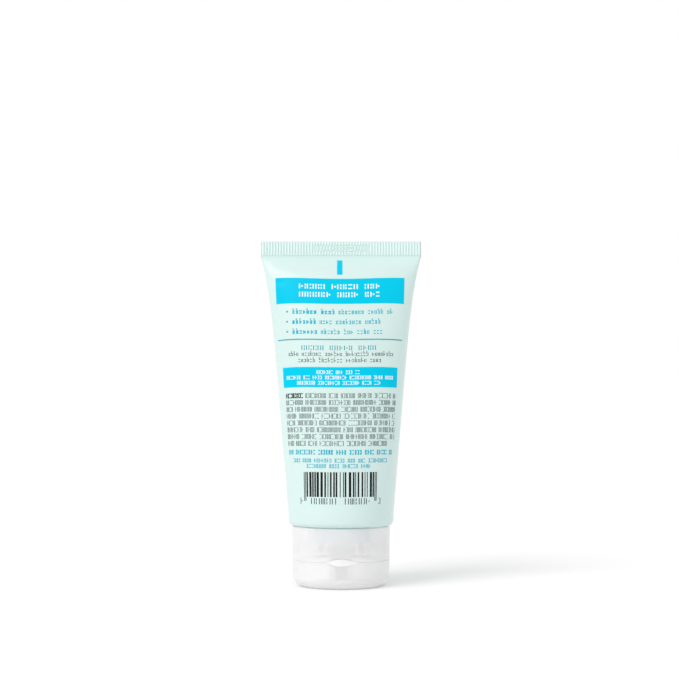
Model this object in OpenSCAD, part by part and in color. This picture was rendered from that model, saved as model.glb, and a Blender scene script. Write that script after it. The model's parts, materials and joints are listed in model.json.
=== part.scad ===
// Squeeze tube for shaving cream, standing on a press-on flip-top cap.
// Millimetres, +Z up. The origin is the middle of the lid's foot, the crimped end seal runs along X
// and the cap's living hinge is at -Y.

/* [Sleeve] */
// Outside diameter of the round end of the sleeve
tube_d = 40; // [38:0.5:42]
// Thickness of the sleeve's wall
sleeve_wall = 0.5; // [0.4:0.05:0.7]
// Height of the whole tube, from the lid's foot to the top of the end seal
total_h = 132; // [120:1:150]
// Radius of the corner where the sleeve turns in under the shoulder
corner_r = 2.1; // [1.6:0.1:2.6]
// Share of the widening towards the seal that is even over the height
even_share = 0.76; // [0.6:0.02:0.9]
// Power of the rest of the widening, which gathers just under the seal
flare_power = 7.2; // [5:0.2:9]

/* [End seal] */
// Height of the crimped band
seal_h = 5.5; // [4:0.5:7]
// Thickness of the two welded walls
seal_t = 1.0; // [0.8:0.05:1.2]
// Number of ribs that the sealing jaws leave across the band
rib_count = 56; // [40:1:70]
// Depth of the grooves between the ribs
rib_depth = 0.22; // [0.1:0.02:0.3]

/* [Head] */
// Outside diameter of the neck
neck_d = 22; // [20:1:24]
// Diameter of the spout that feeds the cap's orifice
spout_d = 9; // [8:0.5:10]
// Bore of the spout
spout_bore_d = 5; // [4:0.5:6]
// Number of lugs that stop the cap turning on the neck
lug_count = 6; // [4:1:8]

/* [Cap] */
// Height of the closed cap
cap_h = 22.6; // [21:0.2:26]
// Outside diameter of the cap at its top rim
cap_top_d = 37.4; // [36:0.2:38.6]
// Outside diameter of the cap where the foot's rounding starts
cap_foot_d = 36.6; // [35:0.2:37.4]
// Thickness of the cap's walls
cap_wall = 1.1; // [0.9:0.1:1.3]
// Height of the line where the lid parts from the cap
parting_z = 10; // [9:0.5:11]
// Radius of the lid's rounded foot
foot_r = 4; // [2:0.5:5]
// Diameter of the dispensing orifice
orifice_d = 5; // [4:0.5:6]

/* [Hinge] */
// Distance of the hinge axis behind the cap's axis
hinge_y = 17.5; // [17:0.1:17.6]
// Angle that the lid can turn before the walls of the hinge notch meet
opening_angle = 110; // [80:5:120]
// Thickness of the film that the lid turns on
film_t = 0.3; // [0.25:0.05:0.35]

/* [Hidden] */
$fn = 96;
mint = [0.84, 0.95, 0.93];
natural = [0.93, 0.93, 0.94, 0.8];
ring_sides = 40;      // points round each ring of the sleeve
body_rings = 20;      // rings from the shoulder to the seal
table_steps = 24;     // steps in a quarter section's table of arc length
eps = 0.01;
split = 0.04;         // half of the gap along the parting line

// ---- sizes that follow from the ones above
shoulder_z = cap_h;
tube_r = tube_d / 2;
round_h = 4;                                   // height over which the head keeps the sleeve round
body_z = shoulder_z + round_h;
seal_z = total_h - seal_h;
outline = PI * tube_d;                         // the sleeve can't stretch, so every section has this length
seal_w = (outline - PI * seal_t) / 2 + seal_t; // width when pressed flat
corner_z = shoulder_z + corner_r;
flange_r = tube_r - 3.5;                       // hole that the head shows through
neck_r = neck_d / 2;
neck_z = shoulder_z - 6.3;                     // end of the neck
head_play = 0.1;                               // gap between the head and the sleeve welded round it
head_floor = shoulder_z + sleeve_wall + head_play;
rim_r = tube_r - sleeve_wall - head_play;      // outside of the head's rim, which lines the sleeve
rim_t = 1.2;
cup_r = neck_r - 1.3;                          // inside of the neck
cup_z = neck_z + 1.6;
web_z = head_floor + 0.8;                      // inner face of the shoulder, at the neck
spout_z = parting_z + 2;                       // end of the spout
deck_t = 1.2;
deck_z = parting_z + split;
skirt_r = neck_r + 0.5;                        // inside of the cap's inner skirt
bead_z = neck_z + 1.4;
bead_h = 0.3;
lug_w = 2;
lip_h = 1.4;                                   // height of the orifice's lip and of the rim spigot
notch_w = 2 * sqrt(pow(cap_foot_d / 2 + 0.2, 2) - pow(hinge_y, 2)) + 0.4;
pad_y = hinge_y - 1;                           // inner face of the pad that backs the hinge
pad_w = notch_w + 1.2;
film_w = notch_w - 2;
relief_r = film_t + 0.05;                      // round relief that lets the lid turn past the film
notch_slope = opening_angle / 2;

// ---- sleeve sections: superellipses of constant length

// Half width at share s of the way from the round end to the seal
function half_width(s) =
    tube_r + (seal_w / 2 - tube_r) * (even_share * s + (1 - even_share) * pow(s, flare_power));

// Exponent of the section: 2 is an ellipse, and more is flatter in front
function squareness(s) = 2 + 0.45 * s;

// Point of a quarter section at angle t
function quarter_point(a, b, n, t) = [a * pow(cos(t), 2 / n), b * pow(sin(t), 2 / n)];

// Arc length from the wide end at each step of a quarter section
function arc_table(a, b, n, i = 0, total = 0) =
    let (t = 90 * i / table_steps, p = quarter_point(a, b, n, t))
    i == table_steps
        ? [[total, p.x, p.y]]
        : let (q = quarter_point(a, b, n, 90 * (i + 1) / table_steps))
          concat([[total, p.x, p.y]], arc_table(a, b, n, i + 1, total + norm(q - p)));

function quarter_length(a, b, n) = arc_table(a, b, n)[table_steps][0];

// Half thickness that gives a section of half width a its full length, found by halving the interval
function half_thickness(a, n, low, high, rounds = 18) =
    let (middle = (low + high) / 2)
    rounds == 0
        ? middle
        : 4 * quarter_length(a, middle, n) > outline
            ? half_thickness(a, n, low, middle, rounds - 1)
            : half_thickness(a, n, middle, high, rounds - 1);

// Ring of points evenly spaced along a section, at height z
function ring(a, b, n, z) =
    let (
        table = arc_table(a, b, n),
        length = table[table_steps][0],
        xs = [for (row = table) [row[0], row[1]]],
        ys = [for (row = table) [row[0], row[2]]]
    )
    [for (i = [0 : ring_sides - 1])
        let (
            place = 4 * i / ring_sides,
            quarter = floor(place),
            along = place - quarter,
            back = quarter % 2 == 1,
            at = length * (back ? 1 - along : along),
            sx = quarter == 0 || quarter == 3 ? 1 : -1,
            sy = quarter < 2 ? 1 : -1
        )
        [sx * lookup(at, xs), sy * lookup(at, ys), z]];

function round_ring(r, z) = [for (i = [0 : ring_sides - 1])
    [r * cos(360 * i / ring_sides), r * sin(360 * i / ring_sides), z]];

// Ring of the sleeve at share s, moved inwards by inset
function body_ring(s, inset) =
    let (
        a = half_width(s),
        n = squareness(s),
        b = s >= 1 ? seal_t / 2 : max(seal_t / 2, half_thickness(a, n, 0.2, tube_r + 0.1))
    )
    ring(a - inset, b - inset, n, body_z + (seal_z - body_z) * s);

// Rings that turn the corner under the shoulder, from the hole outwards
function corner_rings(inset) = concat(
    [round_ring(flange_r, shoulder_z + inset)],
    [for (t = [-90 : 22.5 : 0])
        round_ring(tube_r - corner_r + (corner_r - inset) * cos(t), corner_z + (corner_r - inset) * sin(t))]
);

// Closed skin through a list of rings, with flat ends
module skin(rings) {
    count = len(rings);
    sides = len(rings[0]);
    points = [for (r = rings) each r];
    first = [[for (i = [0 : sides - 1]) i]];
    last = [[for (i = [sides - 1 : -1 : 0]) (count - 1) * sides + i]];
    walls = [for (k = [0 : count - 2], i = [0 : sides - 1])
        let (a = k * sides + i, b = k * sides + (i + 1) % sides)
        each [[a, a + sides, b], [b, a + sides, b + sides]]];
    polyhedron(points, concat(first, walls, last));
}

// Outline of the sealed band from above: ribs on both faces, pressed by the jaws
module seal_outline() {
    half = seal_w / 2;
    pitch = seal_w / rib_count;
    crest = seal_t / 2;
    root = crest - rib_depth;
    face = [for (k = [0 : rib_count - 1])
        let (x = -half + k * pitch)
        each [[x, root], [x + 0.25 * pitch, crest], [x + 0.75 * pitch, crest]]];
    back = [for (k = [len(face) - 1 : -1 : 0]) [face[k].x, -face[k].y]];
    polygon(concat(face, [[half, root], [half, -root]], back));
}

module sleeve() {
    shares = [for (k = [0 : body_rings]) 1 - pow(1 - k / body_rings, 1.3)];
    outside = concat(corner_rings(0), [for (s = shares) body_ring(s, 0)]);
    inner_shares = [for (s = shares) if (s < 0.985) s];
    inside = concat(corner_rings(sleeve_wall), [for (s = inner_shares) body_ring(s, sleeve_wall)]);
    down = [for (k = [len(inside) - 1 : -1 : 0]) inside[k]];
    color(mint) union() {
        skin(concat(down, outside));
        translate([0, 0, seal_z]) linear_extrude(seal_h) seal_outline();
    }
}

// Quarter arc about a centre, as points
function arc(centre, r, from, to, steps = 8) =
    [for (k = [0 : steps]) let (t = from + (to - from) * k / steps) centre + r * [cos(t), sin(t)]];

module tube_head() {
    bore_r = spout_bore_d / 2;
    spout_r = spout_d / 2;
    bevel = 0.4;
    lug_z = bead_z + 1.9;
    lug_root = 0.3;       // how far the lugs run into the shoulder
    color(mint) union() {
        rotate_extrude() polygon(concat(
            [[rim_r, body_z - 0.2]],
            arc([tube_r - corner_r, corner_z], corner_r - sleeve_wall - head_play, 0, -90),
            [
                [flange_r - head_play, head_floor], [flange_r - head_play, shoulder_z],
                [neck_r, shoulder_z], [neck_r, neck_z + bevel], [neck_r - bevel, neck_z], [spout_r, neck_z],
                [spout_r, spout_z + bevel], [spout_r - bevel, spout_z], [bore_r, spout_z],
                [bore_r, cup_z - 1], [cup_r, cup_z], [cup_r, web_z],
                [rim_r - rim_t - 0.8, web_z + 0.6], [rim_r - rim_t, web_z + 1.4],
                [rim_r - rim_t, body_z - 0.2]
            ]
        ));
        // bead that holds the cap
        rotate_extrude() translate([neck_r - 0.1, bead_z])
            polygon([[0, -0.5], [bead_h + 0.1, -0.15], [bead_h + 0.1, 0.15], [0, 0.5]]);
        // lugs that keep the cap lined up with the print
        for (k = [0 : lug_count - 1]) rotate([0, 0, 360 * (k + 0.5) / lug_count])
            translate([neck_r - 0.3, -lug_w / 2, lug_z]) cube([1.2, lug_w, shoulder_z + lug_root - lug_z]);
    }
}

module shaving_cream() {
    gap = 0.15;
    fill_share = 0.93;
    edge_r = rim_r - rim_t - gap;
    shares = [for (k = [1 : 16]) fill_share * k / 16];
    color("white") skin(concat(
        [
            round_ring(cup_r - gap, cup_z + gap), round_ring(cup_r - gap, web_z + gap),
            round_ring(edge_r - 0.8, web_z + 0.6 + gap), round_ring(edge_r, web_z + 1.4 + gap),
            round_ring(edge_r, body_z + gap), body_ring(0.004, sleeve_wall + gap)
        ],
        [for (s = shares) body_ring(s, sleeve_wall + gap)]
    ));
}

// Outside radius of the cap at height z
function cap_r(z) = cap_foot_d / 2 + (cap_top_d - cap_foot_d) / 2 * (z - foot_r) / (cap_h - foot_r);

// V-shaped notch along the hinge axis, which the lid folds into
module hinge_notch() {
    reach = 3;
    rise = reach * tan(notch_slope);
    translate([-notch_w / 2, -hinge_y + film_t / 2, parting_z]) rotate([90, 0, 90])
        linear_extrude(notch_w) polygon([[0, 0], [-reach, -rise], [-reach, rise]]);
}

module cap_base() {
    rim_z = cap_h - 0.1;
    inner_r = cap_r(deck_z) - cap_wall;
    spigot_r = inner_r - 0.17;
    spigot_t = 0.7;
    lip_t = 1.5;
    skirt_t = 1.1;
    catch_r = neck_r + bead_h + 0.02;
    seat_r = spout_d / 2 + 0.08;
    seat_t = 0.9;
    seat_h = 3;
    rib_t = 0.8;
    rib_h = 5;
    slot_w = lug_w + 0.3;
    scoop_r = 12;
    scoop_depth = 0.6;
    deck_top = deck_z + deck_t;
    root_z = deck_top - 0.1;
    lip_z = deck_z - lip_h;
    color(natural) difference() {
        union() {
            // outer wall
            rotate_extrude() polygon([
                [cap_r(deck_z), deck_z], [cap_r(rim_z) - 0.05, rim_z - 0.4], [cap_r(rim_z) - 0.45, rim_z],
                [cap_r(rim_z) - cap_wall, rim_z], [inner_r, deck_top - eps], [inner_r, deck_z]
            ]);
            // deck, with the spigot that seals the lid's rim and the lip round the orifice
            rotate_extrude() polygon([
                [orifice_d / 2, lip_z], [orifice_d / 2 + lip_t, lip_z],
                [orifice_d / 2 + lip_t, deck_z], [spigot_r - spigot_t, deck_z],
                [spigot_r - spigot_t, lip_z], [spigot_r - 0.15, lip_z],
                [spigot_r, lip_z + 0.3], [spigot_r, deck_z],
                [inner_r + cap_wall / 2, deck_z], [inner_r + cap_wall / 2, deck_top],
                [orifice_d / 2, deck_top]
            ]);
            // inner skirt with its catch ring, which holds behind the neck's bead
            rotate_extrude() polygon([
                [skirt_r, root_z], [skirt_r + skirt_t, root_z], [skirt_r + skirt_t, cap_h - 0.6],
                [skirt_r, cap_h - 0.6], [skirt_r, bead_z + 1.5], [catch_r, bead_z + 1.2],
                [catch_r, bead_z + 0.8], [skirt_r, bead_z + 0.5]
            ]);
            // seat for the spout
            rotate_extrude() polygon([
                [seat_r, root_z], [seat_r + seat_t, root_z], [seat_r + seat_t, deck_top + seat_h],
                [seat_r + 0.4, deck_top + seat_h], [seat_r, deck_top + seat_h - 0.4]
            ]);
            // ribs that tie the inner skirt to the outer wall
            for (k = [0 : 5]) rotate([0, 0, 60 * k]) translate([skirt_r + skirt_t / 2, -rib_t / 2, root_z])
                cube([inner_r + cap_wall / 2 - skirt_r - skirt_t / 2, rib_t, rib_h]);
        }
        // slots for the neck's lugs
        for (k = [0 : lug_count - 1]) rotate([0, 0, 360 * (k + 0.5) / lug_count])
            translate([neck_r - 1, -slot_w / 2, bead_z + 1.7]) cube([3.2, slot_w, cap_h]);
        // thumb scoop at the front
        translate([0, cap_r(parting_z) + scoop_r - scoop_depth, parting_z + 1.5]) sphere(r = scoop_r);
        // room for the lid's hinge pad
        translate([-pad_w / 2 - 0.4, -tube_r, 0]) cube([pad_w + 0.8, tube_r - pad_y + 0.25, deck_z]);
        hinge_notch();
    }
}

module flip_lid() {
    floor_t = 1.3;
    root_z = floor_t - 0.1;
    rim_z = parting_z - split;
    round_centre = [cap_r(foot_r) - foot_r, foot_r];
    ring_r = orifice_d / 2 + 1.65;
    ring_t = 0.5;
    pin_r = orifice_d / 2 - 0.2;
    pin_z = parting_z + 0.9;
    bevel = 0.5;
    pad_h = 4.5;
    color(natural) difference() {
        union() {
            // shell with a rounded foot
            rotate_extrude() polygon(concat(
                [[0, 0]],
                arc(round_centre, foot_r, -90, 0, 10),
                [[cap_r(rim_z), rim_z], [cap_r(rim_z) - cap_wall, rim_z]],
                arc(round_centre, foot_r - cap_wall, 0, -86, 8),
                [[0, floor_t]]
            ));
            // sealing ring that closes round the lip
            rotate_extrude() translate([ring_r, root_z]) square([ring_t, rim_z - root_z]);
            // pad behind the hinge
            intersection() {
                translate([-pad_w / 2, -tube_r, parting_z - pad_h])
                    cube([pad_w, tube_r - pad_y, pad_h - split]);
                cylinder(r = cap_r(foot_r) - 0.5, h = cap_h);
            }
            // pin that plugs the orifice
            rotate_extrude() polygon([
                [0, root_z], [pin_r, root_z], [pin_r, pin_z - bevel], [pin_r - bevel, pin_z], [0, pin_z]
            ]);
        }
        hinge_notch();
        // relief for the film
        translate([-film_w / 2 - 0.1, -hinge_y, parting_z]) rotate([0, 90, 0])
            cylinder(r = relief_r, h = film_w + 0.2);
    }
}

// Film that the lid turns on, at the bottom of the notch
module hinge_film() {
    back = film_t / 2;
    foot = relief_r * 0.75;
    wall_rise = film_t * tan(notch_slope);
    color(natural) translate([-film_w / 2, -hinge_y, parting_z]) rotate([90, 0, 90])
        linear_extrude(film_w) polygon([
            [back, -foot], [back, split - eps], [back - split / tan(notch_slope), split - eps],
            [-back, wall_rise - 2 * eps], [-back, -foot]
        ]);
}

sleeve();
tube_head();
shaving_cream();
cap_base();
flip_lid();
hinge_film();
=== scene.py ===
import json
import math
import random

import bmesh
import bpy
import numpy as np
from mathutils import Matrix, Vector


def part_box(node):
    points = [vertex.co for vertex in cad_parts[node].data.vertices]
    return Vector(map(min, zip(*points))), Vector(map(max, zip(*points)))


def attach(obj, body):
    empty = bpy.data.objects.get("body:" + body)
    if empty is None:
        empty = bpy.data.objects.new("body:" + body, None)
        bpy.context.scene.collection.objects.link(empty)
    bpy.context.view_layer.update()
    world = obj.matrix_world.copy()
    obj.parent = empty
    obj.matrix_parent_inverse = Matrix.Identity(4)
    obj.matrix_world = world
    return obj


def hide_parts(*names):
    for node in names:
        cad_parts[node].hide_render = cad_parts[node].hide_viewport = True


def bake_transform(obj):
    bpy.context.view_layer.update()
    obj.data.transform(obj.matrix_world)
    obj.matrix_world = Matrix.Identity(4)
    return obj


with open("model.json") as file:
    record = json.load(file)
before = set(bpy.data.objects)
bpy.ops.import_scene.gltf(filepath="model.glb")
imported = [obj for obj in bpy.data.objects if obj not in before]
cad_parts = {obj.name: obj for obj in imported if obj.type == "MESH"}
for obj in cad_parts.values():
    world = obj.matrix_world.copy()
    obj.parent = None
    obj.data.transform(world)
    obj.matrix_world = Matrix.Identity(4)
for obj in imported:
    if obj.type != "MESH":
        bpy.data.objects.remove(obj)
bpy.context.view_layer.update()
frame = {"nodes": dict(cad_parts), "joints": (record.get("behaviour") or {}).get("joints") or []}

mm = 0.001


# A node's output as a value in Python expressions
class Wire:
    def __init__(self, graph, socket):
        self.graph = graph
        self.socket = socket

    def __add__(self, other):
        return self.graph.math("ADD", self, other)

    def __radd__(self, other):
        return self.graph.math("ADD", other, self)

    def __sub__(self, other):
        return self.graph.math("SUBTRACT", self, other)

    def __rsub__(self, other):
        return self.graph.math("SUBTRACT", other, self)

    def __mul__(self, other):
        return self.graph.math("MULTIPLY", self, other)

    def __rmul__(self, other):
        return self.graph.math("MULTIPLY", other, self)

    def __truediv__(self, other):
        return self.graph.math("DIVIDE", self, other)

    def __rtruediv__(self, other):
        return self.graph.math("DIVIDE", other, self)


class Graph:
    def __init__(self, tree):
        self.tree = tree

    def put(self, socket, value):
        if isinstance(value, Wire):
            self.tree.links.new(value.socket, socket)
        else:
            socket.default_value = value

    # settings go on the node itself, sockets are its inputs by name or number
    def node(self, kind, settings=None, sockets=None, output=0):
        made = self.tree.nodes.new(kind)
        for name, value in (settings or {}).items():
            setattr(made, name, value)
        for name, value in (sockets or {}).items():
            self.put(made.inputs[name], value)
        return Wire(self, made.outputs[output]) if made.outputs else None

    def math(self, operation, *values):
        return self.node("ShaderNodeMath", {"operation": operation}, dict(enumerate(values)))

    def vector(self, operation, *values, output=0):
        return self.node("ShaderNodeVectorMath", {"operation": operation}, dict(enumerate(values)), output)

    def mix(self, factor, first, second):
        return self.node("ShaderNodeMix", {"data_type": "RGBA"}, {0: factor, 6: first, 7: second}, 2)

    def objectPlace(self):
        return self.node("ShaderNodeTexCoord", output=3)

    def noise(self, place, scale, detail):
        return self.node("ShaderNodeTexNoise", {}, {"Vector": place, "Scale": scale, "Detail": detail})

    def bump(self, strength, depth, height):
        return self.node("ShaderNodeBump", {}, {"Strength": strength, "Distance": depth, "Height": height})

    def shapeOf(self, piece):
        return self.node("GeometryNodeObjectInfo", {"transform_space": "RELATIVE"}, {"Object": piece}, 4)


# Small mesh helpers, all in metres

def newPiece(name, points, faces, smooth=True):
    mesh = bpy.data.meshes.new(name)
    mesh.from_pydata([tuple(p) for p in points], [], faces)
    mesh.update()
    mesh.shade_smooth() if smooth else mesh.shade_flat()
    piece = bpy.data.objects.new(name, mesh)
    bpy.context.scene.collection.objects.link(piece)
    return piece


def paint(piece, material):
    piece.data.materials.clear()
    piece.data.materials.append(material)


# A closed slab on the flat print sheet: x across, y up, z out of the sheet
def slab(points, faces, x0, y0, x1, y1, thick, stepX, stepY):
    nx = max(1, math.ceil((x1 - x0) / stepX))
    ny = max(1, math.ceil((y1 - y0) / stepY))
    start = len(points)
    for z in (0.0, thick):
        for j in range(ny + 1):
            for i in range(nx + 1):
                points.append((x0 + (x1 - x0) * i / nx, y0 + (y1 - y0) * j / ny, z))
    layer = (nx + 1) * (ny + 1)

    def at(i, j, top):
        return start + top * layer + j * (nx + 1) + i

    for j in range(ny):
        for i in range(nx):
            faces.append((at(i, j, 1), at(i + 1, j, 1), at(i + 1, j + 1, 1), at(i, j + 1, 1)))
            faces.append((at(i, j, 0), at(i, j + 1, 0), at(i + 1, j + 1, 0), at(i + 1, j, 0)))
    for i in range(nx):
        faces.append((at(i, 0, 0), at(i + 1, 0, 0), at(i + 1, 0, 1), at(i, 0, 1)))
        faces.append((at(i + 1, ny, 0), at(i, ny, 0), at(i, ny, 1), at(i + 1, ny, 1)))
    for j in range(ny):
        faces.append((at(0, j + 1, 0), at(0, j, 0), at(0, j, 1), at(0, j + 1, 1)))
        faces.append((at(nx, j, 0), at(nx, j + 1, 0), at(nx, j + 1, 1), at(nx, j, 1)))


# Materials; noise scales are per metre

def newMaterial(name):
    material = bpy.data.materials.new(name)
    material.use_nodes = True
    material.node_tree.nodes.clear()
    return material, Graph(material.node_tree)


def finishMaterial(graph, shader):
    graph.node("ShaderNodeOutputMaterial", {}, {"Surface": shader})


sleevePlastic = {
    "light": (0.632, 0.800, 0.765, 1),
    "deep": (0.600, 0.772, 0.738, 1),
    "mottle": 55.0,
    "grain": 900.0,
    "fineShare": 0.4,         # of the fine grain in the bump
    "bump": 0.06,
    "bumpDepth": 0.1 * mm,
    "roughness": 0.31,
    "roughMottle": 0.08,
    "roughGrain": 0.05,
    "scatter": 0.12,
    "scatterReach": (0.6, 1.0, 0.9),
    "scatterDepth": 1.0 * mm,
}
# the seal's ribs are paler where the jaws pressed them, and lightened further as painted light to cancel the
# shade the ribs throw on one another; the head is moulded in a deeper mint
sealPaleAndLitPlastic = {**sleevePlastic, "light": (0.78, 0.94, 0.91, 1), "deep": (0.74, 0.91, 0.88, 1)}
headPlastic = {**sleevePlastic, "light": (0.37, 0.90, 0.87, 1), "deep": (0.34, 0.88, 0.85, 1)}


def makeMintMaterial(name, look):
    material, graph = newMaterial(name)
    place = graph.objectPlace()
    cloud = graph.noise(place, look["mottle"], 3.0)
    grain = graph.noise(place, look["grain"], 4.0)
    fine = graph.noise(place, look["grain"] * 4, 2.0)
    evenRough = look["roughness"] - look["roughMottle"] / 2
    shader = graph.node("ShaderNodeBsdfPrincipled", {}, {
        "Base Color": graph.mix(cloud, look["deep"], look["light"]),
        "Roughness": evenRough + look["roughMottle"] * cloud + look["roughGrain"] * grain,
        "Normal": graph.bump(look["bump"], look["bumpDepth"], grain + look["fineShare"] * fine),
        "IOR": 1.5,
        "Subsurface Weight": look["scatter"],
        "Subsurface Radius": look["scatterReach"],
        "Subsurface Scale": look["scatterDepth"],
    })
    finishMaterial(graph, shader)
    return material


printInk = {
    "patch": 160.0,
    "speck": 2600.0,
    "patchShare": 0.7,
    "bump": 0.05,
    "bumpDepth": 0.05 * mm,
    "roughness": 0.34,
    "roughPatch": 0.1,
    "gloss": 0.06,
}


# uneven is how much darker the ink's deepest patches are
def makeInkMaterial(name, colour, uneven=0.06):
    look = printInk
    material, graph = newMaterial(name)
    place = graph.objectPlace()
    patch = graph.noise(place, look["patch"], 4.0)
    speck = graph.noise(place, look["speck"], 2.0)
    deep = tuple(c * (1 - uneven) for c in colour)
    cover = patch * look["patchShare"] + speck * (1 - look["patchShare"])
    shader = graph.node("ShaderNodeBsdfPrincipled", {}, {
        "Base Color": graph.mix(cover, (*deep, 1), (*colour, 1)),
        "Roughness": look["roughness"] - look["roughPatch"] / 2 + look["roughPatch"] * patch,
        "Normal": graph.bump(look["bump"], look["bumpDepth"], speck),
        "IOR": 1.5,
        "Specular IOR Level": look["gloss"],
    })
    finishMaterial(graph, shader)
    return material


capPlastic = {
    "light": (0.98, 0.984, 0.99, 1),
    "deep": (0.96, 0.965, 0.973, 1),
    "flow": 70.0,
    "grain": 1300.0,
    "bump": 0.05,
    "bumpDepth": 0.1 * mm,
    "roughness": 0.36,
    "roughFlow": 0.06,
    "milk": 0.64,            # share of light that the outer skin scatters
    "clear": 0.07,           # the same for each inner face
    "cloudy": 0.04,          # what the flow marks add to both
    "footRadius": 4.0 * mm,
    "skin": 0.7 * mm,        # how deep the outer skin is taken to be
    "spread": 0.6,           # share of the scattered light that still goes on into the cap
}
filmPlastic = {**capPlastic, "milk": 0.70}


def makeCapMaterial(name, look):
    material, graph = newMaterial(name)
    place = graph.objectPlace()
    flow = graph.noise(place, look["flow"], 3.0)
    grain = graph.noise(place, look["grain"], 3.0)
    # distance from the circle that the foot's rounding turns about tells the outer skin from the inner faces
    radius = graph.vector("LENGTH", graph.vector("MULTIPLY", place, (1, 1, 0)), output=1)
    height = graph.vector("DOT_PRODUCT", place, (0, 0, 1), output=1)
    across = graph.math("MAXIMUM", radius - (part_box("flip_lid")[1].x - look["footRadius"]), 0.0)
    down = graph.math("MAXIMUM", look["footRadius"] - height, 0.0)
    away = graph.math("SQRT", across * across + down * down)
    outer = graph.math("GREATER_THAN", away, look["footRadius"] - look["skin"])
    milk = look["clear"] + (look["milk"] - look["clear"]) * outer + look["cloudy"] * flow
    shadowRay = graph.node("ShaderNodeLightPath", output=1)
    shader = graph.node("ShaderNodeBsdfPrincipled", {}, {
        "Base Color": graph.mix(flow, look["deep"], look["light"]),
        "Roughness": look["roughness"] - look["roughFlow"] / 2 + look["roughFlow"] * flow,
        "Normal": graph.bump(look["bump"], look["bumpDepth"], grain),
        "IOR": 1.49,
        "Alpha": milk * (1 - look["spread"] * shadowRay),
    })
    finishMaterial(graph, shader)
    return material


cream = {
    "light": (0.93, 0.93, 0.92, 1),
    "deep": (0.86, 0.87, 0.86, 1),
    "lather": 400.0,
    "bump": 0.2,
    "bumpDepth": 0.4 * mm,
    "roughness": 0.5,
    "roughLather": 0.1,
}


def makeCreamMaterial(name, look):
    material, graph = newMaterial(name)
    place = graph.objectPlace()
    lather = graph.noise(place, look["lather"], 5.0)
    shader = graph.node("ShaderNodeBsdfPrincipled", {}, {
        "Base Color": graph.mix(lather, look["deep"], look["light"]),
        "Roughness": look["roughness"] + look["roughLather"] * lather,
        "Normal": graph.bump(look["bump"], look["bumpDepth"], lather),
    })
    finishMaterial(graph, shader)
    return material


mint = makeMintMaterial("mintPolyethylene", sleevePlastic)
# pressed mint: paler pressed plastic, partly painted light against the shade between the seal's ribs
pressedAndLitMint = makeMintMaterial("mintPressed", sealPaleAndLitPlastic)
headMint = makeMintMaterial("mintHeadPlastic", headPlastic)
milky = makeCapMaterial("naturalPolypropylene", capPlastic)
milkyFilm = makeCapMaterial("naturalFilm", filmPlastic)
white = makeCreamMaterial("shavingCream", cream)
inks = {
    "blue": makeInkMaterial("cyanInk", (0.0, 0.57, 0.80)),
    "sky": makeInkMaterial("cyanTextInk", (0.01, 0.47, 0.62)),
    "white": makeInkMaterial("whiteInk", (0.90, 0.94, 0.94)),
    "dark": makeInkMaterial("darkInk", (0.012, 0.016, 0.017), 0.3),
    "teal": makeInkMaterial("tealInk", (0.03, 0.36, 0.46)),
}
print("materials made")


# The sleeve is a stack of superellipse sections whose outline never changes its length

sleeveLow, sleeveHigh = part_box("sleeve")
sleeve = {
    "radius": sleeveHigh.y,
    "outline": 2 * math.pi * sleeveHigh.y,
    "shoulderZ": sleeveLow.z,
    "topZ": sleeveHigh.z,
    "sealHeight": 5.5 * mm,
    "sealWidth": 2 * sleeveHigh.x,
    "sealHalf": 0.17 * mm,        # half thickness of the band between its ribs
    "sealRounding": 0.1 * mm,     # what the band's edge lies inside the section below it
    "ribDepth": 0.33 * mm,
    "roundHeight": 4.0 * mm,      # of the round stretch above the shoulder
    "corner": 2.1 * mm,
    "wall": 0.5 * mm,
    "holeRadius": sleeveHigh.y - 3.5 * mm,
    "evenShare": 0.76,            # of the widening that is even over the height
    "flarePower": 7.2,
    "squareness": 0.45,           # what the section's power gains over the height
    "edgeSquareness": 7.0,        # what it gains again just under the seal
    "edgeShare": 0.975,           # where that last gain starts
    "lipHeight": 1.0 * mm,        # flat stretch left just under the seal
    "lipSoft": 0.4 * mm,
    "closing": math.tan(math.radians(44)),   # steepest slope of the front just under the seal
    "closingSoft": 0.9 * mm,
    "closingLift": 0.05 * mm,
    "sides": 200,
    "rings": 110,
    "ringGather": 1.5,            # how far the rings gather towards the seal
    "bandRings": 6,
    "cornerRings": 8,
    "innerEvery": 6,              # the inner wall has one ring for this many of the outer one's
    "innerShare": 0.97,           # and ends here, where the walls meet
    "tableSteps": 80,             # in a quarter section's table of arc length
}
sleeve["bodyZ"] = sleeve["shoulderZ"] + sleeve["roundHeight"]
sleeve["sealZ"] = sleeve["topZ"] - sleeve["sealHeight"]


def quarterSection(a, b, n):
    t = np.linspace(0, math.pi / 2, sleeve["tableSteps"] + 1)
    x = a * np.cos(t).clip(0) ** (2 / n)
    y = b * np.sin(t).clip(0) ** (2 / n)
    along = np.concatenate([[0], np.cumsum(np.hypot(np.diff(x), np.diff(y)))])
    return along, x, y


# The half thickness at which a section of half width a has the wanted outline, by halving the range
def halfThickness(a, n, target):
    low, high = 0.1 * mm, sleeve["radius"] * 1.01
    for _ in range(26):
        middle = (low + high) / 2
        if 4 * quarterSection(a, middle, n)[0][-1] > target:
            high = middle
        else:
            low = middle
    return (low + high) / 2


def ringPoints(a, b, n, z):
    along, x, y = quarterSection(a, b, n)
    ring = []
    for i in range(sleeve["sides"]):
        quarter, part = divmod(4 * i / sleeve["sides"], 1)
        at = along[-1] * (1 - part if quarter % 2 else part)
        px, py = np.interp(at, along, x), np.interp(at, along, y)
        ring.append(Vector((px if quarter in (0, 3) else -px, py if quarter < 2 else -py, z)))
    return ring


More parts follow.
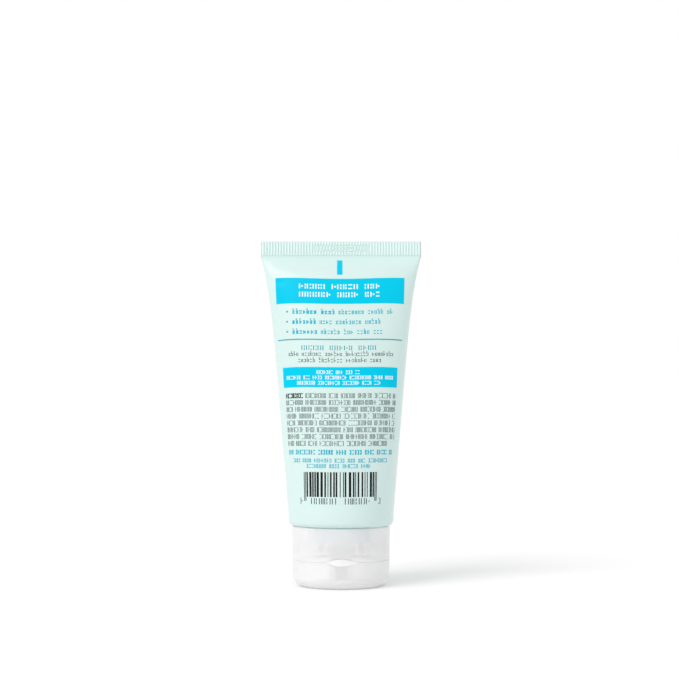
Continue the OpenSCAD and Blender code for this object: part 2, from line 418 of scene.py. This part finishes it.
# A section at a share of the way from the round end to the seal
def bodyRing(share, inset=0.0):
    s = sleeve
    flare = s["evenShare"] * share + (1 - s["evenShare"]) * share ** s["flarePower"]
    a = s["radius"] + (s["sealWidth"] / 2 - s["radius"]) * flare
    edge = max(0.0, (share - s["edgeShare"]) / (1 - s["edgeShare"]))
    n = 2 + s["squareness"] * share + s["edgeSquareness"] * edge ** 2
    b = halfThickness(a, n, s["outline"])
    past = (1 - share) * (s["sealZ"] - s["bodyZ"]) - s["lipHeight"]
    limit = s["sealHalf"] + s["closing"] * (past + math.hypot(past, s["lipSoft"])) / 2
    # the smaller of the two, with a soft change between them
    b = (b + limit - math.hypot(b - limit, s["closingSoft"])) / 2 + s["closingLift"]
    b = max(b, s["sealHalf"])
    return ringPoints(a - inset, b - inset, n, s["bodyZ"] + (s["sealZ"] - s["bodyZ"]) * share)


def circleRing(r, z):
    turns = [2 * math.pi * i / sleeve["sides"] for i in range(sleeve["sides"])]
    return [Vector((r * math.cos(t), r * math.sin(t), z)) for t in turns]


def cornerRings(inset):
    s = sleeve
    middle, r = s["radius"] - s["corner"], s["corner"] - inset
    rings = [circleRing(s["holeRadius"], s["shoulderZ"] + inset)]
    for k in range(s["cornerRings"] + 1):
        t = math.radians(-90 + 90 * k / s["cornerRings"])
        rings.append(circleRing(middle + r * math.cos(t), s["shoulderZ"] + s["corner"] + r * math.sin(t)))
    return rings


# Shallow dents where the filled sheet has been pressed, in millimetres:
# x, side (-1 the hinge's, 1 the other), z, spread across, spread up, depth
dents = (
    (-23.4, -1, 115.3, 1.9, 1.3, 0.24),
    (21.0, -1, 121.0, 5.0, 3.0, 0.14),
    (-16.0, -1, 123.0, 6.0, 2.4, 0.10),
    (9.0, 1, 118.0, 7.0, 4.0, 0.25),
    (-20.0, 1, 108.0, 4.0, 9.0, 0.18),
)


def press(ring):
    for p in ring:
        for x, side, z, across, up, depth in dents:
            if p.y * side > 0:
                away = ((p.x / mm - x) / across) ** 2 + ((p.z / mm - z) / up) ** 2
                p.y -= side * min(depth * mm * math.exp(-away), abs(p.y) / 2)
    return ring


# Rings bridged from the inner wall's top, round the shoulder's edge and up the outer wall to the band's top
def makeSleeve():
    s = sleeve
    sides = s["sides"]
    shares = [1 - (1 - k / s["rings"]) ** s["ringGather"] for k in range(s["rings"] + 1)]
    corner = cornerRings(0)
    body = [press(bodyRing(share)) for share in shares]
    bandWidth = s["sealWidth"] / 2 - s["sealRounding"]
    bandPower = 2 + s["edgeSquareness"]
    band = [ringPoints(bandWidth, s["sealHalf"], bandPower, s["sealZ"] + s["sealHeight"] * k / s["bandRings"])
            for k in range(1, s["bandRings"] + 1)]
    outer = corner + body + band
    innerShares = [share for share in shares[::s["innerEvery"]] if share < s["innerShare"]]
    inner = cornerRings(s["wall"]) + [bodyRing(share, s["wall"]) for share in innerShares]
    rings = inner[::-1] + outer
    points = [p for ring in rings for p in ring]
    faces = []
    for k in range(len(rings) - 1):
        for i in range(sides):
            j = (i + 1) % sides
            faces.append((k * sides + i, k * sides + j, (k + 1) * sides + j, (k + 1) * sides + i))

    def closeRing(first, flip):
        for i in range(sides // 2):
            a, b = first + i, first + i + 1
            c, d = first + (sides - i - 1) % sides, first + (sides - i) % sides
            face = tuple(dict.fromkeys((a, b, c, d)))      # the two end faces are triangles
            faces.append(face[::-1] if flip else face)

    closeRing((len(rings) - 1) * sides, False)
    closeRing(0, True)
    piece = newPiece("sleeveSkin", points, faces)
    addSheetMap(piece, rings, len(inner) + len(corner))
    return piece


# Flat sheet coordinates: u round the section, v up the sheet from the round end, both over the sheet's size
def addSheetMap(piece, rings, base):
    sides = sleeve["sides"]
    height = [[0.0] * sides for _ in rings]
    for k in range(base + 1, len(rings)):
        for i in range(sides):
            height[k][i] = height[k - 1][i] + (rings[k][i] - rings[k - 1][i]).length
    for k in range(base - 1, -1, -1):
        for i in range(sides):
            height[k][i] = height[k + 1][i] - (rings[k][i] - rings[k + 1][i]).length
    sleeve["sheetHeight"] = max(height[-1])
    layer = piece.data.uv_layers.new(name="sheet")
    for polygon in piece.data.polygons:
        columns = [v % sides for v in polygon.vertices]
        wraps = max(columns) - min(columns) > sides / 2
        for loop, v, column in zip(polygon.loop_indices, polygon.vertices, columns):
            turn = column + (sides if wraps and column < sides / 2 else 0)
            layer.data[loop].uv = (turn / sides, height[v // sides][column] / sleeve["sheetHeight"])


sleeveSkin = makeSleeve()
paint(sleeveSkin, mint)
print("sleeve made, sheet height", round(sleeve["sheetHeight"] / mm, 2), "mm")


# Geometry Nodes: what every tree has, and how it is turned into a plain mesh

def newGeometryTree(name, inputs):
    tree = bpy.data.node_groups.new(name, "GeometryNodeTree")
    tree.interface.new_socket("Geometry", in_out="INPUT", socket_type="NodeSocketGeometry")
    for label, kind in inputs.items():
        tree.interface.new_socket(label, in_out="INPUT", socket_type=kind)
    tree.interface.new_socket("Geometry", in_out="OUTPUT", socket_type="NodeSocketGeometry")
    graph = Graph(tree)
    wires = {label: graph.node("NodeGroupInput", output=label) for label in ["Geometry", *inputs]}
    return tree, graph, wires


def closeTree(graph, geometry, material):
    real = graph.node("GeometryNodeRealizeInstances", {}, {"Geometry": geometry})
    painted = graph.node("GeometryNodeSetMaterial", {}, {"Geometry": real, "Material": material})
    graph.node("NodeGroupOutput", {}, {"Geometry": painted})


def bake(piece, tree, values):
    modifier = piece.modifiers.new(tree.name, "NODES")
    modifier.node_group = tree
    identifiers = {item.name: item.identifier for item in tree.interface.items_tree if item.in_out == "INPUT"}
    for label, value in values.items():
        modifier[identifiers[label]] = value
    evaluated = piece.evaluated_get(bpy.context.evaluated_depsgraph_get())
    mesh = bpy.data.meshes.new_from_object(evaluated)
    piece.modifiers.remove(modifier)
    flat = piece.data
    piece.data = mesh
    bpy.data.meshes.remove(flat)
    mesh.name = piece.name


# Lays a flat print on the sleeve: x and y become places on its sheet map, z stands out along its normal
def makeWrapTree():
    tree, graph, wires = newGeometryTree("wrapOnSleeve", {
        "Sleeve": "NodeSocketObject", "Centre": "NodeSocketFloat", "Outline": "NodeSocketFloat",
        "Sheet Height": "NodeSocketFloat", "Lift": "NodeSocketFloat", "Material": "NodeSocketMaterial",
    })
    flat = graph.node("GeometryNodeInputPosition")
    x, y, z = (graph.node("ShaderNodeSeparateXYZ", {}, {0: flat}, axis) for axis in range(3))
    spot = graph.node("ShaderNodeCombineXYZ", {}, {
        "X": wires["Centre"] + x / wires["Outline"], "Y": y / wires["Sheet Height"]})
    target = graph.shapeOf(wires["Sleeve"])
    sheetMap = graph.node("GeometryNodeInputNamedAttribute", {"data_type": "FLOAT_VECTOR"}, {"Name": "sheet"})
    place, normal = (
        graph.node("GeometryNodeSampleUVSurface", {"data_type": "FLOAT_VECTOR"}, {
            "Mesh": target, "Value": graph.node(field), "Source UV Map": sheetMap, "Sample UV": spot})
        for field in ("GeometryNodeInputPosition", "GeometryNodeInputNormal"))
    out = graph.node("ShaderNodeVectorMath", {"operation": "SCALE"}, {0: normal, "Scale": wires["Lift"] + z})
    moved = graph.node("GeometryNodeSetPosition", {}, {
        "Geometry": wires["Geometry"], "Position": graph.vector("ADD", place, out)})
    closeTree(graph, moved, wires["Material"])
    return tree


wrapTree = makeWrapTree()


# Print: blocks, rules, bars and rows of marks that stand for the words

marks = {
    "thick": 0.02 * mm,
    "lift": 0.025 * mm,
    "seed": 40,
    "uneven": (0.85, 1.1),       # how much the marks' widths vary
}
chance = random.Random(marks["seed"])


class Sheet:
    def __init__(self):
        self.shapes = {ink: ([], []) for ink in inks}

    def box(self, ink, x0, y0, x1, y1, stepX=1.2 * mm, stepY=1.6 * mm, raised=0.0):
        points, faces = self.shapes[ink]
        slab(points, faces, x0, y0, x1, y1, marks["thick"] + raised, stepX, stepY)


# One mark: a cell of loose uprights, dashes and dots, which stands for a letter without being one
def drawMark(sheet, ink, x, y, w, h, stroke, raised):
    t = stroke * h
    middle, gap = h / 2, 0.45 * t
    forms = [
        ((0, 0, t, h), (w - t, 0, w, h)),
        ((0, 0, t, h), (w - t, middle + gap, w, h), (w - t, 0, w, middle - gap)),
        ((0, middle + gap, t, h), (0, 0, t, middle - gap), (w - t, 0, w, h)),
        ((0, h - t, w, h), (0, 0, w, t)),
        ((0, 0, t, h), (w - 1.3 * t, middle - 0.65 * t, w, middle + 0.65 * t)),
        ((0, 0, 1.2 * t, 1.2 * t), (0, h - 1.2 * t, 1.2 * t, h), (w - t, 0, w, h)),
    ]
    if w > 4.6 * t:      # room for a third upright
        forms.append(((0, 0, t, h), (w / 2 - t / 2, 0, w / 2 + t / 2, h), (w - t, 0, w, h)))
    for x0, y0, x1, y1 in chance.choice(forms):
        sheet.box(ink, x + x0, y + y0, x + x1, y + y1, raised=raised)


# The cells of a row of marks, as x and width; the gaps between words are left out
def rowCells(left, right, style):
    count = max(1, round((right - left) / (style["pitch"] * mm)))
    cell = (right - left) / count
    nextGap = chance.randint(*style.get("firstWord", style["words"]))
    for i in range(count):
        if i == nextGap and i < count - 2:
            nextGap = i + 1 + chance.randint(*style["words"])
            continue
        w = cell * style["ratio"] * chance.uniform(*marks["uneven"])
        yield left + i * cell + (cell - w) / 2, w


# place is left, right, up and height in millimetres
def drawRow(sheet, ink, place, style):
    left, right, y, h = (v * mm for v in place)
    for x, w in rowCells(left, right, style):
        drawMark(sheet, ink, x, y, w, h, style["stroke"], style.get("raised", 0.0))


# Lower-case rows: low marks, some with a short upright on top
def drawLowRow(sheet, ink, place, style):
    left, right, y, h = (v * mm for v in place)
    low, stroke = h * style["low"], h * style["stroke"]
    for x, w in rowCells(left, right, style):
        tall = chance.random() < style["tallShare"]
        drawMark(sheet, ink, x, y, w, low, stroke / low, 0.0)
        if tall:
            sheet.box(ink, x, y + low + stroke / 2, x + stroke, y + h * style["high"])


# A made-up bar code: guard pairs at both ends and in the middle, random bars between them
def drawBars(sheet, ink, place, guardLow):
    left, right, low, high = place
    modules, guards = 95, (0, 2, 46, 48, 92, 94)
    width = (right - left) / modules
    at = 0
    while at < modules:
        nextGuard = 46 if at < 46 else 92
        if at in guards:
            bar, gap, foot = 1, 1, guardLow
        else:
            bar, gap, foot = chance.choice((1, 2, 2, 3, 3)), chance.choice((1, 2, 2, 3)), low
            if at + bar >= nextGuard:
                at = nextGuard
                continue
        sheet.box(ink, left + at * width, foot, left + (at + bar) * width, high)
        at += bar + gap
        if at == nextGuard - 1:
            at = nextGuard


# Places on the sheet in millimetres: left, right, then how far up from the sheet's lower end
backPrint = {
    "offset": -0.5 * mm,                       # the print sits this far beside the hinge's middle
    "eyeMark": (-1.05, 1.05, 92.6, 100.9),     # boxes are left, right, low, high
    "topBlock": (-25.0, 25.1, 80.4, 90.75),
    "lowBlock": (-23.1, 23.1, 48.1, 55.75),
    "rule": (-25.2, 24.85, 66.15, 66.55),
    "boxStep": (0.8 * mm, 0.6 * mm),
    "topRows": ((-15.9, 15.5, 86.4, 1.95), (-15.8, 15.5, 83.1, 1.95)),   # rows are left, right, up, height
    "points": ((77.2, 20.4, -1.7), (73.3, 15.6, -8.8), (69.4, 16.3, -8.3)),   # up, right, bold words' end
    "pointDot": (-20.7, -20.0),
    "pointLeft": -18.4,
    "pointHeight": 1.9,
    "pointGap": 1.0,                           # after the bold words
    "heading": (-14.8, 13.9, 62.25, 1.75),
    "advice": ((-20.1, 20.9, 60.0, 1.65), (-16.0, 15.8, 57.6, 1.65)),
    "lowRows": ((-8.8, 7.5, 53.1, 1.4), (-21.3, 21.0, 51.1, 1.4), (-16.5, 15.6, 49.05, 1.4)),
    "list": (-22.1, 22.9, 44.0, 1.85),
    "listRows": 8,
    "listPitch": 2.55,
    "listShort": 4.1,                          # what the last row is shorter
    "listBold": 8.2,                           # length of the bold word that starts the first row
    "listGap": 0.7,                            # after it
    "boldTail": (-21.8, 21.9, 22.95, 1.75),
    "tails": ((-19.5, 19.3, 20.05, 1.45), (-12.9, 11.7, 18.0, 1.45)),
    "bars": (-14.1, 14.4, 7.4, 16.5),
    "guardLow": 5.9,
    "barMarks": ((-16.2, -14.9, 1), (-11.3, -1.1, 5), (1.6, 11.6, 5), (15.2, 16.5, 1)),   # left, right, count
    "barMarkUp": (4.75, 2.2),
    "barMarkFill": 0.72,                       # share of its cell that a mark takes
    "barMarkStroke": 0.12,
}

# pitch in millimetres, ratio of mark to cell, stroke as a share of the mark's height, letters in a word
upperCase = {"ratio": 0.7, "words": (3, 9)}
lowerCase = {"ratio": 0.66, "firstWord": (3, 8), "words": (3, 9), "low": 0.72, "high": 1.1, "tallShare": 0.28}
rowStyles = {
    "title": {"pitch": 2.1, "ratio": 0.72, "stroke": 0.24, "raised": marks["thick"], "words": (2, 6)},
    "heading": {"pitch": 1.75, "ratio": 0.66, "stroke": 0.18, "words": (3, 7)},
    "claim": {**upperCase, "pitch": 0.92, "stroke": 0.17, "raised": marks["thick"]},
    "listBold": {"pitch": 0.9, "ratio": 0.76, "stroke": 0.2, "words": (20, 21)},
    "list": {**upperCase, "pitch": 0.9, "stroke": 0.095, "words": (4, 11)},
    "boldTail": {**upperCase, "pitch": 0.98, "stroke": 0.24},
    "tail": {**upperCase, "pitch": 0.98, "stroke": 0.18},
    "pointBold": {**lowerCase, "pitch": 1.35, "stroke": 0.25},
    "point": {**lowerCase, "pitch": 1.22, "stroke": 0.17},
    "advice": {**lowerCase, "pitch": 1.12, "stroke": 0.13},
    "panel": {**upperCase, "pitch": 1.0, "ratio": 0.68, "stroke": 0.2, "raised": marks["thick"]},
    "foot": {**upperCase, "pitch": 1.3, "ratio": 0.66, "stroke": 0.16},
}


def drawBack():
    p, styles = backPrint, rowStyles
    sheet = Sheet()
    for ink, key in (("blue", "eyeMark"), ("blue", "topBlock"), ("blue", "lowBlock"), ("teal", "rule")):
        left, right, low, high = (v * mm for v in p[key])
        sheet.box(ink, left, low, right, high, *p["boxStep"])
    for place in p["topRows"]:
        drawRow(sheet, "white", place, styles["title"])
    h = p["pointHeight"]
    for y, right, boldEnd in p["points"]:
        dotLeft, dotRight = p["pointDot"]
        half = (dotRight - dotLeft) / 2
        sheet.box("sky", dotLeft * mm, (y - half) * mm, dotRight * mm, (y + half) * mm)
        drawLowRow(sheet, "sky", (p["pointLeft"], boldEnd, y - h / 2, h), styles["pointBold"])
        drawLowRow(sheet, "sky", (boldEnd + p["pointGap"], right, y - h / 2, h), styles["point"])
    drawRow(sheet, "teal", p["heading"], styles["heading"])
    for place in p["advice"]:
        drawLowRow(sheet, "dark", place, styles["advice"])
    for place in p["lowRows"]:
        drawRow(sheet, "white", place, styles["claim"])
    drawList(sheet)
    drawRow(sheet, "sky", p["boldTail"], styles["boldTail"])
    for place in p["tails"]:
        drawRow(sheet, "sky", place, styles["tail"])
    drawBars(sheet, "dark", [v * mm for v in p["bars"]], p["guardLow"] * mm)
    y, h = (v * mm for v in p["barMarkUp"])
    fill = p["barMarkFill"]
    for left, right, count in p["barMarks"]:
        cell = (right - left) / count
        for i in range(count):
            x = left + (i + (1 - fill) / 2) * cell
            drawMark(sheet, "dark", x * mm, y, cell * fill * mm, h, p["barMarkStroke"], 0.0)
    return sheet


def drawList(sheet):
    p = backPrint
    left, right, top, h = p["list"]
    boldEnd = left + p["listBold"]
    for k in range(p["listRows"]):
        start, end = left, right
        if k == 0:
            drawRow(sheet, "dark", (left, boldEnd, top, h), rowStyles["listBold"])
            start = boldEnd + p["listGap"]
        if k == p["listRows"] - 1:
            end = right - p["listShort"]
        drawRow(sheet, "dark", (start, end, top - k * p["listPitch"], h), rowStyles["list"])


frontPrint = {
    "eyeMark": (-1.05, 1.05, 92.6, 100.0),
    "panel": (-18.0, 18.0, 34.0, 80.0),
    "wordBars": ((-13.0, 1.5, 70.4, 3.2), (3.5, 13.0, 70.4, 3.2),
                 (-13.0, -4.0, 64.4, 3.2), (-2.0, 13.0, 64.4, 3.2)),      # as rows: left, right, up, height
    "rule": (-13.0, 13.0, 59.6, 60.1),
    "rows": ((-12.8, 12.8, 54.6, 1.5), (-12.0, 12.0, 51.6, 1.5),
             (-8.8, 8.8, 48.6, 1.5), (-10.4, 10.4, 38.4, 1.4)),
    "foot": (-12.5, 12.5, 10.0, 1.8),
}


def drawFront():
    p = frontPrint
    sheet = Sheet()
    for left, right, low, high in (p["eyeMark"], p["panel"]):
        sheet.box("blue", left * mm, low * mm, right * mm, high * mm)
    for left, right, y, h in p["wordBars"]:
        sheet.box("white", left * mm, y * mm, right * mm, (y + h) * mm, raised=marks["thick"])
    left, right, low, high = (v * mm for v in p["rule"])
    sheet.box("white", left, low, right, high, raised=marks["thick"])
    for place in p["rows"]:
        drawRow(sheet, "white", place, rowStyles["panel"])
    drawRow(sheet, "dark", p["foot"], rowStyles["foot"])
    return sheet


def wrapSheet(sheet, side, centre):
    made = []
    for ink, (points, faces) in sheet.shapes.items():
        if not faces:
            continue
        piece = newPiece(f"{side}Print{ink.capitalize()}", points, faces, smooth=False)
        bake(piece, wrapTree, {
            "Sleeve": sleeveSkin, "Centre": centre, "Outline": sleeve["outline"],
            "Sheet Height": sleeve["sheetHeight"], "Lift": marks["lift"], "Material": inks[ink],
        })
        made.append(piece)
    return made


printPieces = wrapSheet(drawBack(), "back", 0.75 + backPrint["offset"] / sleeve["outline"])
printPieces += wrapSheet(drawFront(), "front", 0.25)
print("print wrapped in", len(printPieces), "pieces")


# End seal: ribs that the jaws leave, and a code field on the back

seal = {
    "ribs": 56,
    "ribWidth": 0.62 * mm,
    "ribDepth": sleeve["ribDepth"],
    "ribRoot": 0.05 * mm,         # how far a rib runs into the band
    "ribTaper": 0.15 * mm,        # slope of a rib's two ends
    "ribMargin": 0.12 * mm,       # from the band's two edges
    "edgeMargin": 0.6 * mm,       # what the row of ribs is narrower than the band
    "fieldHalf": 10.8 * mm,       # half width of the code field
    "fieldLow": 1.5 * mm,         # from the seal's lower edge
    "fieldHigh": 4.1 * mm,
}
seal["pitch"] = (sleeve["sealWidth"] - seal["edgeMargin"]) / seal["ribs"]


# One rib, lying along +Z from the origin, standing out along -Y
def ribMesh(height):
    w, d, taper = seal["ribWidth"] / 2, seal["ribDepth"], seal["ribTaper"]
    # root, foot, the flank's top and the edge of the flat crest
    side = [(w, seal["ribRoot"], 0), (w, 0, 0), (w * 0.7, -d * 0.9, taper), (w * 0.55, -d, taper)]
    profile = [(-x, y, dz) for x, y, dz in side] + side[::-1]
    points = [(x, y, dz) for x, y, dz in profile] + [(x, y, height - dz) for x, y, dz in profile]
    n = len(profile)
    faces = [(i, (i + 1) % n, n + (i + 1) % n, n + i) for i in range(n)]
    faces += [tuple(range(n - 1, -1, -1)), tuple(range(n, 2 * n))]
    rib = newPiece("ribSample", points, faces, smooth=False)
    work = bmesh.new()
    work.from_mesh(rib.data)
    bmesh.ops.recalc_face_normals(work, faces=work.faces)
    work.to_mesh(rib.data)
    work.free()
    return rib


def makeRibTree():
    tree, graph, wires = newGeometryTree("ribRow", {
        "Rib": "NodeSocketObject", "Count": "NodeSocketInt", "Pitch": "NodeSocketFloat",
        "Start": "NodeSocketVector", "Turn": "NodeSocketFloat", "Material": "NodeSocketMaterial",
    })
    step = graph.node("ShaderNodeCombineXYZ", {}, {"X": wires["Pitch"]})
    row = graph.node("GeometryNodeMeshLine", {}, {
        "Count": wires["Count"], "Start Location": wires["Start"], "Offset": step})
    rib = graph.shapeOf(wires["Rib"])
    turn = graph.node("ShaderNodeCombineXYZ", {}, {"Z": wires["Turn"]})
    ribs = graph.node("GeometryNodeInstanceOnPoints", {}, {"Points": row, "Instance": rib, "Rotation": turn})
    closeTree(graph, ribs, wires["Material"])
    return tree


def joinPieces(name, pieces):
    with bpy.context.temp_override(active_object=pieces[0], selected_editable_objects=pieces):
        bpy.ops.object.join()
    pieces[0].name = name
    pieces[0].data.name = name
    return pieces[0]


def makeRibs():
    tree = makeRibTree()
    s, half, margin = sleeve, seal["ribs"] / 2, seal["ribMargin"]
    xs = [(k - half + 0.5) * seal["pitch"] for k in range(seal["ribs"])]
    aside = [x for x in xs if abs(x) > seal["fieldHalf"]]
    amid = [x for x in xs if abs(x) <= seal["fieldHalf"]]
    sideCount = len(aside) // 2
    top = s["sealHeight"] - margin
    rows = [     # first rib's x, how many, low, high, side
        (aside[0], sideCount, margin, top, -1),
        (aside[sideCount], sideCount, margin, top, -1),
        (amid[0], len(amid), margin, seal["fieldLow"], -1),
        (amid[0], len(amid), seal["fieldHigh"], top, -1),
        (xs[0], len(xs), margin, top, 1),
    ]
    made = []
    for x, count, low, high, side in rows:
        rib = ribMesh(high - low)
        holder = newPiece("ribRow", [(0, 0, 0)], [])
        # the ribs take the pressed mint, partly painted light against the shade between them
        bake(holder, tree, {
            "Rib": rib, "Count": count, "Pitch": seal["pitch"],
            "Start": (x, side * s["sealHalf"], s["sealZ"] + low),
            "Turn": 0.0 if side < 0 else math.pi, "Material": pressedAndLitMint,
        })
        bpy.data.objects.remove(rib)
        made.append(holder)
    return joinPieces("sealRibs", made)


code = {
    "marks": 8,
    "endMargin": 1.2 * mm,
    "edgeMargin": 0.35 * mm,
    "markMargin": 0.3 * mm,
    "markShorter": 0.7 * mm,      # what a mark is narrower than its cell
    "stroke": 0.2,
    "raised": 0.3 * mm,
    "root": 0.02 * mm,
}


def makeCode():
    c, half = code, seal["fieldHalf"] - code["endMargin"]
    low, high = seal["fieldLow"] + c["edgeMargin"], seal["fieldHigh"] - c["edgeMargin"]
    cell = 2 * half / c["marks"]
    sheet = Sheet()
    for i in range(c["marks"]):
        x = -half + i * cell + c["markMargin"]
        drawMark(sheet, "dark", x, low, cell - c["markShorter"], high - low, c["stroke"], c["raised"])
    flat, faces = sheet.shapes["dark"]
    points = [(x, c["root"] - sleeve["sealHalf"] - z, sleeve["sealZ"] + y) for x, y, z in flat]
    return newPiece("sealCode", points, faces, smooth=False)


sealRibs = makeRibs()
sealCode = makeCode()
# the code marks take the same pressed mint, partly painted light
paint(sealCode, pressedAndLitMint)
print("end seal made")


# Head, cap, lid and cream keep their own shapes
finishes = {"tube_head": headMint, "cap_base": milky, "flip_lid": milky, "shaving_cream": white}
for node, material in finishes.items():
    paint(frame["nodes"][node], material)


# Hinge film across the notch between cap and lid

hinge = next(j for j in frame["joints"] if j["name"] == "lid_hinge")
film = {
    "axisY": hinge["pos_m"][1],
    "axisZ": hinge["pos_m"][2],
    "bottom": -hinge["pos_m"][1] - 0.15 * mm,   # the notch's depth line, from the cap's axis
    "slope": math.tan(math.radians(55)),        # of each wall of the notch
    "radius": 18.36 * mm,                       # of its outer face, round the cap's axis
    "halfWidth": 5.85 * mm,
    "thick": 0.3 * mm,
    "gap": 0.06 * mm,
    "edge": 0.02 * mm,                          # half height left at its two ends
    "bend": 0.35 * mm,                          # half height of the stretch that bends
    "rows": 12,
    "columns": 48,
}


# A strip that fills the mouth of the hinge's notch, flush with the wall beside it
def makeFilm():
    f = film
    rows, columns = f["rows"], f["columns"]
    reach = math.asin(f["halfWidth"] / f["radius"])
    points, faces = [], []
    for radius in (f["radius"], f["radius"] - f["thick"]):
        for r in range(rows + 1):
            for c in range(columns + 1):
                turn = reach * (2 * c / columns - 1)
                y = radius * math.cos(turn)
                half = max((y - f["bottom"]) * f["slope"] - f["gap"], f["edge"])
                points.append((radius * math.sin(turn), -y, f["axisZ"] + half * (2 * r / rows - 1)))

    def at(layer, r, c):
        return (layer * (rows + 1) + r) * (columns + 1) + c

    for r in range(rows):
        for c in range(columns):
            faces.append((at(0, r, c), at(0, r, c + 1), at(0, r + 1, c + 1), at(0, r + 1, c)))
            faces.append((at(1, r, c), at(1, r + 1, c), at(1, r + 1, c + 1), at(1, r, c + 1)))
        faces.append((at(0, r, 0), at(0, r + 1, 0), at(1, r + 1, 0), at(1, r, 0)))
        faces.append((at(0, r, columns), at(1, r, columns), at(1, r + 1, columns), at(0, r + 1, columns)))
    for c in range(columns):
        faces.append((at(0, 0, c), at(1, 0, c), at(1, 0, c + 1), at(0, 0, c + 1)))
        faces.append((at(0, rows, c), at(0, rows, c + 1), at(1, rows, c + 1), at(1, rows, c)))
    return newPiece("hingeFilm", points, faces)


hingeFilm = makeFilm()
paint(hingeFilm, milkyFilm)
print("hinge film made")


# What moves with what

for piece in [sleeveSkin, sealRibs, sealCode, *printPieces]:
    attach(piece, "tube")
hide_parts("sleeve")
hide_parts("hinge_film")
film["axisZ"] + film["bend"]
film["axisZ"] - film["bend"]
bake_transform(hingeFilm)


# Floor, light and camera

studio = {
    "floor": 8.0,
    "paper": (0.97, 0.97, 0.975, 1),
    "eye": (-0.6 * mm, -420 * mm, 50 * mm),
    "tilt": 3.82,                 # degrees above level
    "lens": 57.92,
    "shift": 0.06,
    "ambient": 0.82,              # light that the room gives to surfaces
    "backdrop": 1.0,              # the same room as seen directly and in reflections
    "sunStrength": 1.25,
    "sunTint": (1.0, 0.945, 0.935),
    "sunSpread": 32,              # degrees, as from a wide soft box
    "sunHeight": 40,
    "sunSide": -45,               # degrees from straight in front, to the left
}


def makeFloor():
    half = studio["floor"] / 2
    floor = newPiece("studioFloor", [(-half, -half, 0), (half, -half, 0), (half, half, 0), (-half, half, 0)],
                     [(0, 1, 2, 3)], smooth=False)
    material, graph = newMaterial("paperFloor")
    finishMaterial(graph, graph.node("ShaderNodeBsdfDiffuse", {}, {"Color": studio["paper"]}))
    paint(floor, material)


def makeLight(scene):
    world = bpy.data.worlds.new("studioWorld")
    scene.world = world
    world.use_nodes = True
    world.node_tree.nodes.clear()
    graph = Graph(world.node_tree)
    diffuseRay = graph.node("ShaderNodeLightPath", output=2)
    strength = studio["backdrop"] + (studio["ambient"] - studio["backdrop"]) * diffuseRay
    sky = graph.node("ShaderNodeBackground", {}, {"Color": (1, 1, 1, 1), "Strength": strength})
    graph.node("ShaderNodeOutputWorld", {}, {"Surface": sky})

    data = bpy.data.lights.new("keyLight", "SUN")
    data.energy = studio["sunStrength"]
    data.color = studio["sunTint"]
    data.angle = math.radians(studio["sunSpread"])
    lamp = bpy.data.objects.new("keyLight", data)
    lamp.rotation_euler = (math.radians(90 - studio["sunHeight"]), 0, math.radians(studio["sunSide"]))
    scene.collection.objects.link(lamp)


def makeCamera(scene):
    data = bpy.data.cameras.new("studioCamera")
    data.sensor_width = 36.0
    data.lens = studio["lens"]
    data.shift_y = studio["shift"]
    data.clip_start, data.clip_end = 0.01, 50
    camera = bpy.data.objects.new("studioCamera", data)
    camera.location = studio["eye"]
    camera.rotation_euler = (math.radians(90 + studio["tilt"]), 0, 0)
    scene.collection.objects.link(camera)
    scene.camera = camera


bpy.context.scene.view_settings.view_transform = "Standard"
makeFloor()
makeLight(bpy.context.scene)
makeCamera(bpy.context.scene)
print("studio set")
